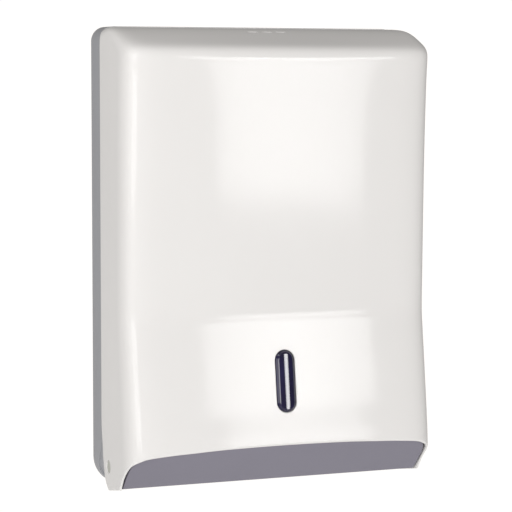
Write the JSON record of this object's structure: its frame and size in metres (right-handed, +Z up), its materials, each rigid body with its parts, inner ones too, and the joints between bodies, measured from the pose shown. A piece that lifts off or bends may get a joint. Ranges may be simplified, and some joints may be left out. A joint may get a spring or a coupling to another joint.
{
  "type": "paper towel dispenser",
  "caption": "Wall-mounted folded paper towel dispenser: deep white cover hinged at its foot on a grey case, key latch on top, level window, towel mouth beneath.",
  "frame": {"origin": "centre of the pattern of four wall holes, on the back plane that rests on the wall", "axes": "+Z up, front cover faces -Y, +X is the viewer's right when facing the dispenser"},
  "size_m": [0.29, 0.1238, 0.4184],
  "materials": {
    "cover_white": "glossy off-white moulded plastic",
    "case_grey": "satin mid-grey moulded plastic",
    "tray_grey": "satin mid-grey moulded plastic",
    "guide_grey": "satin mid-grey moulded plastic",
    "window_smoke": "dark blue-black transparent plastic, polished",
    "retainer_white": "satin white plastic",
    "lock_white": "satin white plastic",
    "latch_acetal": "satin black acetal",
    "pin_acetal": "satin pale grey acetal",
    "washer_nylon": "natural nylon",
    "catch_steel": "zinc-plated steel strip",
    "screw_steel": "zinc-plated steel",
    "spring_steel": "spring steel wire"
  },
  "bodies": {
    "case": {"back_case": "case_grey", "towel_tray": "tray_grey", "tray_screws": "screw_steel", "latch_catch": "catch_steel", "catch_screws": "screw_steel", "hinge_pin_left": "pin_acetal", "hinge_pin_right": "pin_acetal", "hinge_washers": "washer_nylon", "towel_guide_left": "guide_grey", "towel_guide_right": "guide_grey", "guide_screws": "screw_steel"},
    "cover": {"front_cover": "cover_white", "level_window": "window_smoke", "window_retainer": "retainer_white", "retainer_screws": "screw_steel", "lock_housing": "lock_white", "lock_base": "lock_white", "lock_screws": "screw_steel"},
    "latch": {"latch_slider": "latch_acetal", "latch_spring": "spring_steel"}
  },
  "joints": [
    {"name": "cover_hinge", "type": "hinge", "parent": "case", "child": "cover", "pos_m": [0, -0.052, -0.195], "axis": [1, 0, 0], "range_deg": [0, 90]},
    {"name": "latch_slide", "type": "slide", "parent": "cover", "child": "latch", "axis": [0, 0, -1], "range_m": [0, 0.0045], "stiffness_N_per_m": 400, "springref_m": -0.004, "deforming": ["latch_spring"]}
  ]
}
